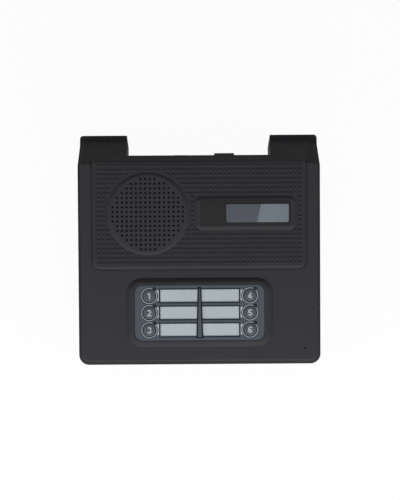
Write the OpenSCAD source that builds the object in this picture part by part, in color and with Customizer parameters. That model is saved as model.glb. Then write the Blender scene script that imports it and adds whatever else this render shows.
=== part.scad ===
// Desktop intercom console: a wedge case in two mouldings, with a loudspeaker behind a
// drilled grille, a name plate, and a panel of six call buttons with name windows.
// The origin is the middle of the footprint on the table: X right, Y to the rear, Z up.
// A place on the sloping face is given by x, right of the middle, v, down the face from
// the ridge, and w, above the underside of the cover.

/* [Case] */
// Overall width of the base
case_w = 180; // [178:1:196]
// Length of the sloping face, from the front rim to the ridge
face_len = 149.5; // [148:0.5:160]
// Slope of the face, in degrees above level
face_tilt = 15; // [13:0.5:17]
// Height of the front rim above the table
front_h = 20; // [19:0.5:26]
// Slope of the rear of the cover, in degrees below level
rear_tilt = 45; // [42:0.5:48]
// Length of the rear of the cover, from the ridge to its lower edge
rear_len = 35.5; // [34:0.5:37]
// Depth of the ledge that the base leaves behind the cover
rear_ledge = 4.5; // [3:0.5:7]
// Wall of the base
wall = 2.5; // [2.4:0.1:3]
// Floor of the base
floor_t = 2.5; // [2:0.1:3]
// Radius of the front corners
corner_r = 7.5; // [6:0.5:10]
// Radius of the rear corners of the legs
leg_corner_r = 2.5; // [1.5:0.5:4]
// Rim of the base that shows beside the cover
rim_side = 1.8; // [1.2:0.1:2]
// Rim of the base that shows in front of the cover
rim_front = 2.2; // [1.6:0.1:2.3]
// Play between mouldings that fit into each other
fit_gap = 0.3; // [0.2:0.05:0.4]

/* [Rear notch] */
// Width between the rear legs, at the cover
notch_w = 107; // [98:0.2:110]
// Length of rear slope left between the legs
notch_strip = 13.4; // [12:0.2:16]
// Lean of the recessed rear wall, in degrees
notch_lean = 12; // [10:0.5:14]
// How far the base's legs stand back from the cover beside the notch
leg_inset = 0.8; // [0.4:0.1:1.5]

/* [Cover] */
// Thickness of the cover
cover_t = 2.5; // [2.3:0.1:3]
// Depth of the lip that locates the cover in the base
lip_h = 3; // [2:0.5:4]
// Thickness of that lip
lip_t = 1.5; // [1.2:0.1:1.8]

/* [Grille panel] */
// Width of the raised panel
panel_w = 158.8; // [154:0.2:162]
// Length of the panel, down from the ridge
panel_len = 78.2; // [77:0.2:80]
// Height of the panel above the face
panel_h = 1.8; // [1.4:0.1:2.2]
// Corner radius of the panel
panel_r = 6; // [4:0.5:8]
// Width of the panel's sloping edge
panel_edge = 2.4; // [1.5:0.1:3]
// How far the panel reaches down the rear slope
panel_hook = 5; // [3:0.5:7]
// Middle of the speaker grille, right of the middle of the case
speaker_x = -38; // [-40:0.5:-37]
// Middle of the speaker grille, down from the ridge
speaker_v = 37.2; // [36:0.2:38]
// Radius of the raised grille disc
grille_r = 30.6; // [30:0.1:31]
// Height of the grille disc above the panel
grille_h = 1.2; // [0.8:0.1:1.5]
// Width of the disc's sloping edge
grille_edge = 2.6; // [1.5:0.1:3]
// Thickness left behind the grille holes
grille_t = 2.5; // [2:0.1:2.8]
// Spacing of the grille holes
hole_pitch = 3.47; // [3.3:0.01:3.5]
// Diameter of a grille hole
hole_d = 1.6; // [1.2:0.1:1.9]
// Reach of the hole pattern, in hole spacings
hole_reach = 7.7; // [6:0.1:7.7]

/* [Name plate] */
// Middle of the name plate, right of the middle of the case
plate_x = 34.5; // [33:0.1:37]
// Middle of the name plate, down from the ridge
plate_v = 36.9; // [34:0.1:40]
// Width of the raised frame
plate_w = 74.3; // [70:0.1:76]
// Height of the frame along the face
plate_len = 25; // [24:0.1:28]
// Corner radius of the frame
plate_r = 3.5; // [2.5:0.1:5]
// Rise of the frame above the panel
plate_h = 1.5; // [1:0.1:2]
// Width of the frame's sloping edge
plate_edge = 2; // [1:0.1:2.4]
// Width of the label set in the frame
label_w = 66.6; // [64:0.1:68]
// Height of the label
label_len = 18.5; // [17:0.1:20]
// Thickness of the label
label_t = 0.8; // [0.6:0.1:1]
// Middle of the badge, right of the middle of the label
badge_shift = 8.7; // [7:0.1:9]
// Width of the badge
badge_w = 46.3; // [42:0.1:48]
// Height of the badge
badge_len = 13.5; // [12:0.1:15]
// Thickness of the badge
badge_t = 0.7; // [0.5:0.1:1]

/* [Call panel] */
// Middle of the call panel, down from the ridge
keys_v = 110.7; // [109.6:0.1:112]
// Width of the raised bezel
bezel_w = 107; // [104:0.5:112]
// Height of the bezel along the face
bezel_len = 50.9; // [49.5:0.1:52]
// Corner radius of the bezel
bezel_r = 10.5; // [8:0.5:12]
// Rise of the bezel above the face
bezel_h = 2.4; // [2:0.1:3]
// Width of the bezel's sloping edge
bezel_edge = 4; // [3:0.1:4.2]
// Width of the overlay set in the bezel
overlay_w = 96; // [95:0.5:97]
// Height of the overlay
overlay_len = 40.9; // [40:0.1:41.5]
// Corner radius of the overlay
overlay_r = 5.6; // [3:0.1:6.4]
// Thickness of the overlay
overlay_t = 0.9; // [0.7:0.1:1.1]
// Spacing of the button rows
row_pitch = 12.7; // [12.5:0.1:13]
// Buttons from the middle of the panel
button_x = 37.4; // [37:0.1:38.5]
// Diameter of a button
button_d = 8.8; // [8.6:0.1:9.4]
// How far a button stands above the overlay
button_rise = 0.5; // [0.3:0.1:1]
// How far a button travels
button_travel = 0.8; // [0.5:0.1:1]
// Lamp, right of its button
led_dx = 3.95; // [3.9:0.05:4.3]
// Lamp, up the face from its button
led_dy = 5.15; // [5.1:0.05:5.4]
// Diameter of a lamp lens
led_d = 2.5; // [2:0.1:2.6]
// Height of a name window
window_len = 9.35; // [8:0.05:9.8]
// Outer end of the windows, from the middle of the panel
window_out = 29.3; // [27:0.1:30]
// Length of the divider between the window columns
divider_len = 38; // [34:0.5:39]
// Width of the divider at its upper end
divider_top = 1.9; // [1.5:0.1:2.5]
// Width of the divider at its lower end
divider_bottom = 4.2; // [3:0.1:5]

/* [Loudspeaker] */
// Diameter of the loudspeaker
speaker_d = 57; // [55:0.5:57.5]
// Depth of the loudspeaker's basket
basket_h = 11; // [10:0.5:13]
// Diameter of the magnet
magnet_d = 28; // [25:0.5:32]
// Thickness of the magnet
magnet_t = 7; // [6:0.5:8]
// Travel of the cone each way
cone_travel = 0.4; // [0.2:0.1:0.5]

/* [Microphone] */
// Microphone hole, in from the side of the case
mic_side = 11.9; // [10.5:0.1:14]
// Microphone hole, down from the ridge
mic_v = 137.6; // [135:0.1:138]
// Diameter of the microphone hole
mic_hole_d = 1.3; // [1:0.1:1.6]
// Diameter of the microphone capsule
mic_d = 6; // [5:0.1:6.2]

/* [Boards and sockets] */
// Thickness of a circuit board
pcb_t = 1.6; // [1.2:0.2:2]
// Width of the main board
main_w = 100; // [90:1:104]
// Depth of the main board
main_len = 62; // [58:1:70]
// Height of the main board above the floor
main_lift = 8; // [7:0.5:10]
// Width of the key board
key_board_w = 92; // [90:1:98]
// Height of the key board along the face
key_board_len = 38; // [36:1:40]
// Line socket, right of the middle of the case
line_x = 19.6; // [12:0.2:30]
// Width of the line socket
line_w = 15.2; // [14:0.1:16]
// Height of the line socket
line_h = 13; // [12:0.5:14]
// How far the line socket stands out of the rear wall
line_proud = 3.3; // [2:0.1:4]
// Power socket, right of the middle of the case
power_x = -14; // [-30:0.5:-10]
// Width of the power socket
power_w = 9; // [8:0.5:10]
// Height of the power socket
power_h = 11; // [10:0.5:12]

/* [Feet and fasteners] */
// Diameter of a rubber foot
foot_d = 13; // [11:0.5:14]
// How far the feet lift the base off the table
foot_h = 2; // [1.5:0.1:3]
// How far the feet are let into the base
foot_seat = 1; // [0.6:0.1:1.2]
// Diameter of the case screws
case_screw_d = 3; // [2.5:0.1:3.4]
// Diameter of the board and loudspeaker screws
small_screw_d = 2.2; // [2:0.1:2.6]

/* [Hidden] */
$fn = 40;

// Colours of the pieces
case_grey = "#3b3a3d";
overlay_grey = "#4d5259";
card_grey = "#a7b1b3";
button_grey = "#464b55";
badge_grey = "#62676e";
ink_black = "#2e2c2d";
board_green = "#2f5d3a";
steel = "#a9abad";
rubber_black = "#1f1f20";
wire_red = "#7a2b2b";

// How far joined shapes run into each other, and how far a cut runs past a face
bite = 0.6;
past = 1;

// Side view of the case, in Y and Z
case_d = face_len * cos(face_tilt) - cover_t * sin(face_tilt) + rear_len * cos(rear_tilt) + rear_ledge;
front_y = -case_d / 2;
rear_y = case_d / 2;
function face_y(u, w) = front_y + u * cos(face_tilt) - w * sin(face_tilt);
function face_z(u, w) = front_h + u * sin(face_tilt) + w * cos(face_tilt);
function face_yz(u, w) = [face_y(u, w), face_z(u, w)];
function face_point(x, v, w) = [x, face_y(face_len - v, w), face_z(face_len - v, w)];
function cover_under_z(y) = front_h + (y - front_y) * tan(face_tilt);
face_out = [-sin(face_tilt), cos(face_tilt)];
rear_out = [sin(rear_tilt), cos(rear_tilt)];
rear_down = [cos(rear_tilt), -sin(rear_tilt)];
ridge_step = (face_out + rear_out) / (1 + face_out * rear_out);
ridge = face_yz(face_len, cover_t);
ridge_under = ridge - cover_t * ridge_step;
rear_end = ridge + rear_len * rear_down;
ledge_z = rear_end[1];
ledge_seat_y = ridge_under[0] + (ridge_under[1] - ledge_z) / tan(rear_tilt);
floor_z = foot_h + floor_t;
rear_blunt = 0.4;
over_z = 2 * ridge[1];
cover_w = case_w - 2 * rim_side;

// Recessed rear wall between the legs
notch_edge = ridge + notch_strip * rear_down;
function notch_y(z) = notch_edge[0] + (notch_edge[1] - z) * tan(notch_lean);
base_notch_w = notch_w + 2 * leg_inset;
wall_lean = wall / cos(notch_lean);

// Heights above the underside of the cover
panel_top = cover_t + panel_h;
grille_top = panel_top + grille_h;
speaker_seat = grille_top - grille_t;
plate_top = panel_top + plate_h;
bezel_top = cover_t + bezel_h;
overlay_seat = bezel_top - overlay_t;
key_web = 2;
label_r = 1;
badge_r = 1.5;
key_under = overlay_seat - key_web;

// Loudspeaker, from its seat down
cloth_t = 0.3;
flange_t = 1;
speaker_r = speaker_d / 2;
gasket_top = speaker_seat - cloth_t;
flange_top = flange_t;
frame_ring = 2.5;
frame_in = speaker_r - frame_ring;
cone_in = 4.6;
cone_r = speaker_r - cone_in;
neck_r = 6.3;
cone_t = 0.7;
cone_edge_w = -0.5;
neck_lift = 3.4;
cone_neck_w = neck_lift - basket_h;
coil_t = 0.6;
coil_outer_r = neck_r + coil_t;
coil_gap = 0.6;
coil_depth = 2.5;
magnet_r = magnet_d / 2;
function cone_w(r) = cone_neck_w + (r - neck_r) * (cone_edge_w - cone_neck_w) / (cone_r - neck_r);
clamp_out = 3.1;
clamp_r = speaker_r + clamp_out;
clamp_angles = [0, 120, 240];
washer_r = 4.5;
washer_t = 0.8;
tag = [1.6, 8, 2.6];
tag_r = speaker_r - tag[0];
tag_turn = -60;

// Buttons, switches and lamps, from the overlay down
button_play = 0.25;
button_stop = 0.15;
button_flange = 1.1;
button_flange_r = button_d / 2 + button_flange;
button_flange_t = 1.2;
button_crown = 30;
stem_r = 2;
key_board_drop = 8.5;
key_board_top = key_under - key_board_drop;
key_board_under = key_board_top - pcb_t;
switch_w = 6;
switch_h = 3.5;
switch_top = key_board_top + switch_h;
plunger_r = 1.7;
plunger_play = 0.2;
plunger_out = 1.5;
plunger_in = 1.1;
led_body_d = 3;
led_body_h = 4.6;
led_collar = 0.4;
led_collar_h = 0.8;
led_ledge = 0.25;
led_proud = 0.1;
led_gap = 0.3;
led_top = key_under - led_gap;
lead_t = 0.5;
lead_pitch = 1.8;
function key_x(i) = i <= 3 ? -button_x : button_x;
function key_y(i) = (1 - (i - 1) % 3) * row_pitch;
function divider_half(y) =
    (divider_top + divider_bottom) / 4 + y * (divider_top - divider_bottom) / 2 / divider_len;
window_gap = 0.35;
card_t = 0.35;
lens_t = 0.4;
card_play = 0.1;
key_post_side = 18;
key_post_in = 4;
key_post_at = [
    for (x = [-1, 1], y = [-1, 1])
        [x * key_post_side, y * (key_board_len / 2 - key_post_in)]
];
key_post_r = 2.8;
pocket_margin = 1;
key_screw_grip = 6;

// Main board and what stands on it
main_z = floor_z + main_lift;
main_top = main_z + pcb_t;
main_x = 10;
main_gap = 2;
main_rear = notch_y(main_z) - wall_lean - main_gap;
main_front = main_rear - main_len;
standoff_r = 3.2;
post_in = 5;
post_back = 24;
main_post_at = [
    for (x = [-1, 1], y = [main_front + post_in, main_rear - post_back])
        [main_x + x * (main_w / 2 - post_in), y]
];
line_len = 18;
line_rear = notch_y(main_top + line_h) + line_proud;
power_len = 14;
power_proud = 2;
power_rear = notch_y(main_top + power_h) + power_proud;
plug_w = 11.8;
plug_h = 6.8;
plug_len = 12;
header_w = 16;
header_len = 5;
header_h = 5;
ribbon_w = 12.7;
ribbon_t = 0.9;
ribbon_x = 0;
cable_end_gap = 0.1;
ribbon_lift = 5;
key_header_in = 5;
key_header_y = key_board_len / 2 - key_header_in;
main_header_back = 12;
main_header_y = main_front + main_header_back;
speaker_header_x = -28;
speaker_header_back = 9;
speaker_header_y = main_front + speaker_header_back;

// Screws
case_screw_in = 20;
case_screw_front = 24;
case_screw_rear = 15;
boss_len = 11;
boss_wall = 2.1;
boss_r = case_screw_d / 2 + boss_wall;
screw_seat_t = 4;
case_screw_len = 13;
case_head_r = 2.9;
case_head_h = 2;
column_wall = 1.6;
column_r = case_head_r + column_wall;
thread_play = 0.05;
screw_tip_gap = 0.5;
small_head_r = 2.1;
small_head_h = 1.5;
case_screw_at = [
    for (x = [-1, 1], y = [front_y + case_screw_front, ridge_under[0] - case_screw_rear])
        [x * (case_w / 2 - case_screw_in), y]
];
function boss_foot_z(y) = cover_under_z(y) - boss_len;

// How far short of the ridge the cover's lip stops
lip_stop = 14;

// Feet, set in from the edges of the base, whose front wall is square to the face
foot_edge = 7;
foot_in = foot_d / 2 + foot_edge;
foot_lip = 3;
foot_front = foot_d / 2 + foot_lip;
base_front_y = front_y + (front_h - foot_h) * tan(face_tilt);
foot_at = [
    for (x = [-1, 1], y = [base_front_y + foot_front, rear_y - foot_in])
        [x * (case_w / 2 - foot_in), y]
];

// Microphone
mic_x = case_w / 2 - mic_side;
boot_wall = 1.2;
boot_h = 4.5;
boot_lid = 1;
boot_relief = 0.2;
collar_wall = 1.2;
collar_h = 4;
mic_slack = 0.05;

// Extrudes a side view, drawn in Y and Z, across the case
module side_extrude(w) {
    rotate([90, 0, 90])
        linear_extrude(w, center = true)
            children();
}

// Places children on the sloping face
module on_face(x, v, w = 0) {
    translate([0, front_y, front_h])
        rotate([face_tilt, 0, 0])
            translate([x, face_len - v, w])
                children();
}

// Rectangle with round corners, about its middle
module round_rect(w, l, r) {
    square([w - 2 * r, l], center = true);
    square([w, l - 2 * r], center = true);
    for (x = [-1, 1], y = [-1, 1])
        translate([x * (w / 2 - r), y * (l / 2 - r)])
            circle(r);
}

// Outline seen from above, with one radius at the front and one at the rear
module plan_outline(w, y0, y1, r_front, r_rear) {
    translate([-w / 2 + r_front, y0])
        square([w - 2 * r_front, y1 - y0 - r_rear]);
    translate([-w / 2, y0 + r_front])
        square([w, y1 - y0 - r_front - r_rear]);
    translate([-w / 2 + r_rear, y0 + r_front])
        square([w - 2 * r_rear, y1 - y0 - r_front]);
    for (x = [-1, 1]) {
        translate([x * (w / 2 - r_front), y0 + r_front])
            circle(r_front);
        translate([x * (w / 2 - r_rear), y1 - r_rear])
            circle(r_rear);
    }
}

// Prism square to the face, with round front corners, from a distance behind the front rim
module face_prism(w, u0, r) {
    on_face(0, face_len, -over_z)
        linear_extrude(2 * over_z)
            plan_outline(w, u0, 2 * face_len, r, r);
}

// Section of a raised form whose edges slope in over a width
module slope_section(w, h, edge) {
    drop = h / edge * past;
    polygon([
        [-w / 2 - past, -2 * bite - drop], [-w / 2 - past, -drop], [-w / 2 + edge, h],
        [w / 2 - edge, h], [w / 2 + past, -drop], [w / 2 + past, -2 * bite - drop]
    ]);
}

// Raised form with round corners and sloping edges, sunk a little into what carries it
module raised(w, l, r, h, edge) {
    intersection() {
        translate([0, 0, -bite])
            linear_extrude(h + 2 * bite)
                round_rect(w, l, r);
        rotate([90, 0, 0])
            linear_extrude(l + 2 * past, center = true)
                slope_section(w, h, edge);
        side_extrude(w + 2 * past)
            slope_section(l, h, edge);
    }
}

// Space between the rear legs, grown to the front and sides by a wall
module notch_block(w, grow_y = 0, grow_x = 0) {
    low = -foot_edge;
    behind = rear_y + foot_edge;
    side_extrude(w + 2 * grow_x)
        polygon([
            [notch_y(low) - grow_y, low], [notch_y(over_z) - grow_y, over_z], [behind, over_z], [behind, low]
        ]);
}

// Smooth run through a few points
function curve_at(a, b, c, d, t) =
    0.5 * (2 * b + (c - a) * t + (2 * a - 5 * b + 4 * c - d) * t * t + (3 * b - a - 3 * c + d) * t * t * t);
function curve(points, steps) = let (last = len(points) - 1) concat(
    [
        for (i = [0 : last - 1], k = [0 : steps - 1])
            curve_at(points[max(i - 1, 0)], points[i], points[i + 1], points[min(i + 2, last)], k / steps)
    ],
    [points[last]]
);
function direction(path, i) = let (
    ahead = path[min(i + 1, len(path) - 1)],
    behind = path[max(i - 1, 0)]
) (ahead - behind) / norm(ahead - behind);

// Round wire along a path
module wire(path, r) {
    sides = 8;
    lean = [0.5, 0.6, 0.62];
    last = len(path) - 1;
    points = [
        for (i = [0 : last])
            let (
                t = direction(path, i),
                a = cross(t, lean) / norm(cross(t, lean)),
                b = cross(t, a)
            )
            for (k = [0 : sides - 1])
                path[i] + r * (cos(k * 360 / sides) * a + sin(k * 360 / sides) * b)
    ];
    walls = [
        for (i = [0 : last - 1], k = [0 : sides - 1])
            let (j = (k + 1) % sides)
            each [
                [i * sides + k, (i + 1) * sides + j, i * sides + j],
                [i * sides + k, (i + 1) * sides + k, (i + 1) * sides + j]
            ]
    ];
    start = [for (k = [0 : sides - 1]) k];
    finish = [for (k = [sides - 1 : -1 : 0]) last * sides + k];
    polyhedron(points, concat(walls, [start, finish]));
}

// Screw with a round head, its head's seat at zero and its shank upward
module screw(d, len, head_r, head_h) {
    cylinder(h = len, d = d);
    translate([0, 0, -head_h])
        cylinder(h = head_h, r = head_r);
}

// Hollow wedge of the base, without posts
module base_shell() {
    difference() {
        intersection() {
            side_extrude(case_w + 2 * past)
                polygon([
                    [front_y - past, foot_h], [front_y - past, front_h - past * tan(face_tilt)],
                    ridge_under, [ledge_seat_y, ledge_z], [rear_y + past, ledge_z], [rear_y + past, foot_h]
                ]);
            linear_extrude(over_z)
                plan_outline(case_w, front_y - face_len, rear_y, corner_r, leg_corner_r);
            face_prism(case_w, 0, corner_r);
        }
        difference() {
            base_cavity();
            notch_block(base_notch_w, wall_lean, wall);
        }
        notch_block(base_notch_w);
    }
}

// Space inside the base, up past its open top, with a flange left under the rear ledge
module base_cavity() {
    flange_h = 3;
    flange_in = 1.5;
    flange_y = ledge_seat_y - flange_in;
    rear_r = 1;
    intersection() {
        side_extrude(case_w)
            polygon([
                [front_y, floor_z], [rear_y, floor_z], [rear_y, ledge_z - flange_h],
                [flange_y, ledge_z - flange_h], [flange_y, over_z], [front_y, over_z]
            ]);
        linear_extrude(2 * over_z)
            plan_outline(case_w - 2 * wall, front_y - face_len, rear_y - wall, corner_r - wall, rear_r);
        face_prism(case_w - 2 * wall, wall, corner_r - wall);
    }
}

module base_case() {
    color(case_grey)
        difference() {
            union() {
                base_shell();
                for (p = case_screw_at)
                    translate([p[0], p[1], foot_h + bite])
                        cylinder(h = boss_foot_z(p[1]) - foot_h - bite, r = column_r);
                for (p = main_post_at)
                    translate([p[0], p[1], foot_h + bite])
                        cylinder(h = main_z - foot_h - bite, r = standoff_r);
            }
            for (p = case_screw_at) {
                translate([p[0], p[1], 0])
                    cylinder(h = boss_foot_z(p[1]) - screw_seat_t, r = case_head_r + fit_gap);
                translate([p[0], p[1], 0])
                    cylinder(h = over_z, d = case_screw_d + 2 * fit_gap);
            }
            for (p = main_post_at)
                translate([p[0], p[1], floor_z])
                    cylinder(h = over_z, d = small_screw_d + 2 * thread_play);
            for (p = foot_at)
                translate([p[0], p[1], 0])
                    cylinder(h = foot_h + foot_seat, d = foot_d + 2 * thread_play);
            socket_window(line_x, line_w, line_h);
            socket_window(power_x, power_w, power_h);
        }
}

// Opening in the recessed rear wall for a socket
module socket_window(x, w, h) {
    translate([x - w / 2 - fit_gap, main_front, main_top - fit_gap])
        cube([w + 2 * fit_gap, rear_y - main_front, h + 2 * fit_gap]);
}

module rubber_feet() {
    color(rubber_black)
        for (p = foot_at)
            translate([p[0], p[1], 0])
                cylinder(h = foot_h + foot_seat, d = foot_d);
}

module main_board() {
    color(board_green)
        difference() {
            translate([main_x - main_w / 2, main_front, main_z])
                cube([main_w, main_len, pcb_t]);
            for (p = main_post_at)
                translate([p[0], p[1], main_z - past])
                    cylinder(h = pcb_t + 2 * past, d = small_screw_d + 2 * fit_gap);
        }
}

module board_screws() {
    color(steel)
        for (p = main_post_at)
            translate([p[0], p[1], main_top])
                mirror([0, 0, 1])
                    screw(small_screw_d, main_lift - past, small_head_r, small_head_h);
}

module line_socket() {
    slot_w = 6;
    slot_h = 1.5;
    mouth_z = 2.2;
    color(rubber_black)
        difference() {
            translate([line_x - line_w / 2, line_rear - line_len, main_top])
                cube([line_w, line_len, line_h]);
            translate([line_x - plug_w / 2, line_rear - plug_len, main_top + mouth_z])
                cube([plug_w, plug_len + past, plug_h]);
            translate([line_x - slot_w / 2, line_rear - plug_len, main_top + mouth_z + plug_h - bite])
                cube([slot_w, plug_len + past, slot_h + bite]);
        }
}

module power_socket() {
    barrel_d = 6.4;
    barrel_len = 10;
    pin_d = 2;
    pin_in = 1.5;
    barrel_up = 6;
    barrel_z = main_top + barrel_up;
    color(rubber_black) {
        difference() {
            translate([power_x - power_w / 2, power_rear - power_len, main_top])
                cube([power_w, power_len, power_h]);
            translate([power_x, power_rear + past, barrel_z])
                rotate([90, 0, 0])
                    cylinder(h = barrel_len + past, d = barrel_d);
        }
        translate([power_x, power_rear - pin_in, barrel_z])
            rotate([90, 0, 0])
                cylinder(h = barrel_len - pin_in + bite, d = pin_d);
    }
}

module audio_chip() {
    chip = [6.4, 19, 3.4];
    chip_side = 14;
    chip_back = 22;
    chip_at = [main_x + chip_side, main_front + chip_back, main_top];
    chip_lift = 0.8;
    legs = 7;
    leg = [1.5, 0.8, 2];
    leg_pitch = 2.54;
    leg_out = 0.9;
    color(ink_black)
        translate(chip_at) {
            translate([0, 0, chip_lift])
                cube(chip);
            for (x = [-leg_out, chip[0] + leg_out - leg[0]], k = [0 : legs - 1])
                translate([x, (chip[1] - leg[1]) / 2 + (k - (legs - 1) / 2) * leg_pitch, 0])
                    cube(leg);
        }
}

module capacitors() {
    can_r = 5;
    can_h = 12;
    can_pitch = 12;
    can_in = 20;
    can_back = 15;
    can_x = main_x + main_w / 2 - can_in;
    can_y = main_front + can_back;
    color(ink_black)
        for (k = [0 : 2])
            translate([can_x, can_y + k * can_pitch, main_top])
                cylinder(h = can_h, r = can_r);
}

// Plug housings: one under the key board, two on the main board
module cable_headers() {
    color(card_grey) {
        on_face(ribbon_x, keys_v - key_header_y, key_board_under - header_h)
            translate([-header_w / 2, -header_len / 2, 0])
                cube([header_w, header_len, header_h]);
        translate([ribbon_x - header_w / 2, main_header_y - header_len / 2, main_top])
            cube([header_w, header_len, header_h]);
        translate([speaker_header_x - header_len / 2, speaker_header_y - header_len / 2, main_top])
            cube([header_len, header_len, header_h]);
    }
}

// Face, ridge and rear slope of the cover, as one bent sheet
module cover_sheet() {
    difference() {
        intersection() {
            side_extrude(case_w)
                polygon([
                    face_yz(0, 0), face_yz(0, cover_t), ridge, rear_end, [ledge_seat_y, ledge_z], ridge_under
                ]);
            linear_extrude(over_z)
                plan_outline(
                    cover_w, face_y(rim_front, 0), rear_end[0] - rear_blunt, corner_r - rim_side, leg_corner_r
                );
        }
        notch_block(notch_w);
    }
}

// Lip under the cover that drops inside the walls of the base
module cover_lip() {
    lip_in = wall + fit_gap;
    lip_end = face_len - lip_stop;
    lip_w = case_w - 2 * lip_in;
    outer_r = corner_r - lip_in;
    on_face(0, face_len, -lip_h)
        linear_extrude(lip_h + bite)
            intersection() {
                translate([-lip_w / 2, 0])
                    square([lip_w, lip_end]);
                difference() {
                    plan_outline(lip_w, lip_in, face_len, outer_r, outer_r);
                    plan_outline(
                        lip_w - 2 * lip_t, lip_in + lip_t, 2 * face_len, outer_r - lip_t, outer_r - lip_t
                    );
                }
            }
}

// Raised panel that carries the grille and the name plate, hooked over the ridge
module grille_panel() {
    panel_ridge = ridge + panel_h * ridge_step;
    panel_foot = face_len - panel_len;
    slope = panel_h / panel_edge;
    over = 20;
    intersection() {
        side_extrude(panel_w)
            polygon([
                face_yz(panel_foot - past, cover_t - bite),
                face_yz(panel_foot - past, cover_t - past * slope),
                face_yz(panel_foot + panel_edge, panel_top), panel_ridge,
                panel_ridge + panel_hook * rear_down,
                ridge + (panel_hook + panel_h) * rear_down - bite * rear_out,
                ridge - bite * ridge_step
            ]);
        on_face(0, (panel_len - over) / 2, -over_z)
            linear_extrude(2 * over_z)
                round_rect(panel_w, panel_len + over, panel_r);
    }
}

module grille_holes() {
    reach = ceil(hole_reach);
    for (i = [-reach : reach - 1], j = [-reach : reach - 1])
        if (norm([i + 0.5, j + 0.5]) <= hole_reach)
            translate([(i + 0.5) * hole_pitch, (j + 0.5) * hole_pitch, speaker_seat - past])
                cylinder(h = grille_t + 2 * past, d = hole_d);
}

// Everything moulded on the cover, before it is drilled
module cover_forms() {
    difference() {
        union() {
            cover_sheet();
            cover_lip();
            grille_panel();
            on_face(speaker_x, speaker_v, panel_top)
                translate([0, 0, -bite])
                    cylinder(h = grille_h + bite, r1 = grille_r, r2 = grille_r - grille_edge);
            on_face(plate_x, plate_v, panel_top)
                raised(plate_w, plate_len, plate_r, plate_h, plate_edge);
            on_face(0, keys_v, cover_t)
                raised(bezel_w, bezel_len, bezel_r, bezel_h, bezel_edge);
            for (p = case_screw_at)
                translate([p[0], p[1], boss_foot_z(p[1])])
                    cylinder(h = boss_len + cover_t / 2, r = boss_r);
            on_face(mic_x, mic_v, -collar_h)
                cylinder(h = collar_h + bite, r = mic_d / 2 + boot_wall + mic_slack + collar_wall);
        }
        on_face(0, keys_v, -past)
            linear_extrude(key_under + past)
                round_rect(overlay_w + 2 * pocket_margin, overlay_len + 2 * pocket_margin, overlay_r);
    }
    on_face(0, keys_v, key_board_top)
        for (p = key_post_at)
            translate([p[0], p[1], 0])
                cylinder(h = key_under - key_board_top + bite, r = key_post_r);
}

module top_cover() {
    color(case_grey)
        difference() {
            cover_forms();
            on_face(speaker_x, speaker_v) {
                grille_holes();
                translate([0, 0, -past])
                    cylinder(h = speaker_seat + past, r = speaker_r + fit_gap);
                for (a = clamp_angles)
                    rotate([0, 0, a])
                        translate([clamp_r, 0, -past])
                            cylinder(h = speaker_seat + past, d = small_screw_d + 2 * thread_play);
            }
            on_face(plate_x, plate_v, plate_top - label_t)
                linear_extrude(label_t + past)
                    round_rect(label_w + fit_gap, label_len + fit_gap, label_r);
            on_face(0, keys_v, overlay_seat)
                linear_extrude(overlay_t + past)
                    round_rect(overlay_w + 2 * fit_gap, overlay_len + 2 * fit_gap, overlay_r + fit_gap);
            on_face(0, keys_v, -past)
                for (i = [1 : 6])
                    translate([key_x(i), key_y(i), 0]) {
                        cylinder(h = bezel_top + 2 * past, d = button_d + 2 * button_play);
                        translate([led_dx, led_dy, 0])
                            cylinder(h = bezel_top + 2 * past, d = led_d - 2 * led_ledge);
                    }
            on_face(0, keys_v, key_board_top - past)
                for (p = key_post_at)
                    translate([p[0], p[1], 0])
                        cylinder(h = key_screw_grip + 2 * past, d = small_screw_d + 2 * thread_play);
            on_face(mic_x, mic_v, -2 * past - collar_h)
                cylinder(h = collar_h + 2 * past, r = mic_d / 2 + boot_wall + mic_slack);
            on_face(mic_x, mic_v, -past)
                cylinder(h = cover_t + 2 * past, d = mic_hole_d);
            for (p = case_screw_at)
                translate([p[0], p[1], boss_foot_z(p[1]) - past])
                    cylinder(h = boss_len, d = case_screw_d + 2 * thread_play);
        }
}

module grille_cloth() {
    color(rubber_black)
        on_face(speaker_x, speaker_v, gasket_top)
            cylinder(h = cloth_t, r = speaker_r);
}

module speaker_gasket() {
    color(rubber_black)
        on_face(speaker_x, speaker_v, flange_top)
            difference() {
                cylinder(h = gasket_top - flange_top, r = speaker_r);
                translate([0, 0, -past])
                    cylinder(h = gasket_top - flange_top + 2 * past, r = frame_in);
            }
}

module speaker_frame() {
    sheet_t = 1;
    wall_t = 0.8;
    flange_w = 2;
    step = 0.4;
    coil_hole_r = coil_outer_r + coil_gap + step;
    vent_r = 4.5;
    vent_turn = 15;
    vent_at = (magnet_r + speaker_r - flange_w) / 2;
    color(steel)
        on_face(speaker_x, speaker_v) {
            difference() {
                rotate_extrude()
                    polygon([
                        [frame_in, flange_top], [speaker_r, flange_top], [speaker_r, 0],
                        [speaker_r - flange_w, 0], [magnet_r + step + wall_t, -basket_h],
                        [coil_hole_r, -basket_h], [coil_hole_r, sheet_t - basket_h],
                        [magnet_r + step, sheet_t - basket_h], [frame_in, -step]
                    ]);
                for (a = [0 : 90 : 270])
                    rotate([0, 0, a + vent_turn])
                        translate([vent_at, 0, sheet_t / 2 - basket_h])
                            cylinder(h = basket_h - sheet_t, r = vent_r);
            }
            rotate([0, 0, tag_turn])
                translate([tag_r - tag[0] / 2, -tag[1] / 2, -tag[2]])
                    cube([tag[0], tag[1], tag[2] + bite]);
        }
}

module speaker_magnet() {
    groove_spare = 2;
    groove = coil_depth + groove_spare;
    color(ink_black)
        on_face(speaker_x, speaker_v, -basket_h - magnet_t)
            difference() {
                cylinder(h = magnet_t, r = magnet_r);
                translate([0, 0, magnet_t - groove])
                    difference() {
                        cylinder(h = groove + past, r = coil_outer_r + coil_gap);
                        translate([0, 0, -past])
                            cylinder(h = groove + 3 * past, r = neck_r - coil_gap);
                    }
            }
}

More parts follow.
